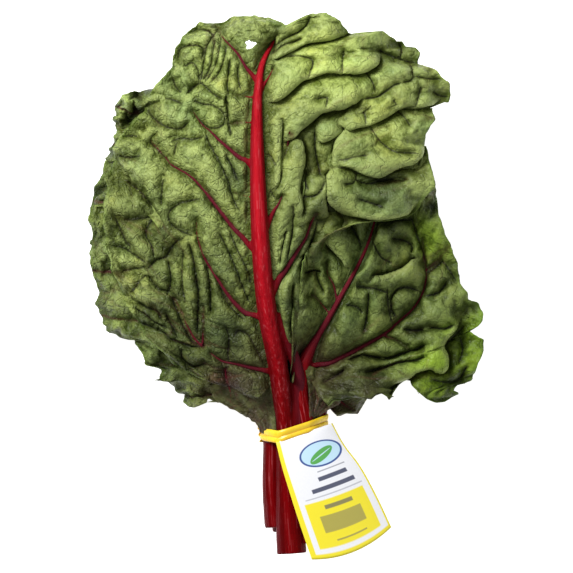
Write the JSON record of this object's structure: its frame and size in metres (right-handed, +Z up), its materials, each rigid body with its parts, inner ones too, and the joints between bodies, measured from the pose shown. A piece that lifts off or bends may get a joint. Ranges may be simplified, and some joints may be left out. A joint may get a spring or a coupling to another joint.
{
  "type": "swiss chard bunch",
  "caption": "Bunch of red Swiss chard with crumpled green leaves and crimson stalks, held by a yellow tie with a tag, lying on its back leaves.",
  "frame": {"origin": "centre of the bunch's outline seen from above, on the surface it lies on", "axes": "+Z up from the surface it lies on, towards the front leaf's ribbed back; +Y from the cut stalks towards the leaf tips; +X towards the right leaf and the tag"},
  "size_m": [0.2999, 0.4102, 0.0778],
  "materials": {
    "leaf_green": "soft satin leaf",
    "stalk_crimson": "smooth moist stalk",
    "tie_yellow": "glossy plastic band",
    "tag_white": "coated card"
  },
  "bodies": {
    "root": {"front_leaf_blade": "leaf_green", "front_leaf_stalk": "stalk_crimson", "right_leaf_blade": "leaf_green", "right_leaf_stalk": "stalk_crimson", "top_leaf_blade": "leaf_green", "top_leaf_stalk": "stalk_crimson", "left_leaf_blade": "leaf_green", "left_leaf_stalk": "stalk_crimson", "inner_leaf_blade": "leaf_green", "inner_leaf_stalk": "stalk_crimson", "low_right_leaf_blade": "leaf_green", "low_right_leaf_stalk": "stalk_crimson", "back_right_leaf_blade": "leaf_green", "back_right_leaf_stalk": "stalk_crimson", "back_left_leaf_blade": "leaf_green", "back_left_leaf_stalk": "stalk_crimson", "twist_tie": "tie_yellow", "tag": "tag_white"}
  },
  "joints": []
}
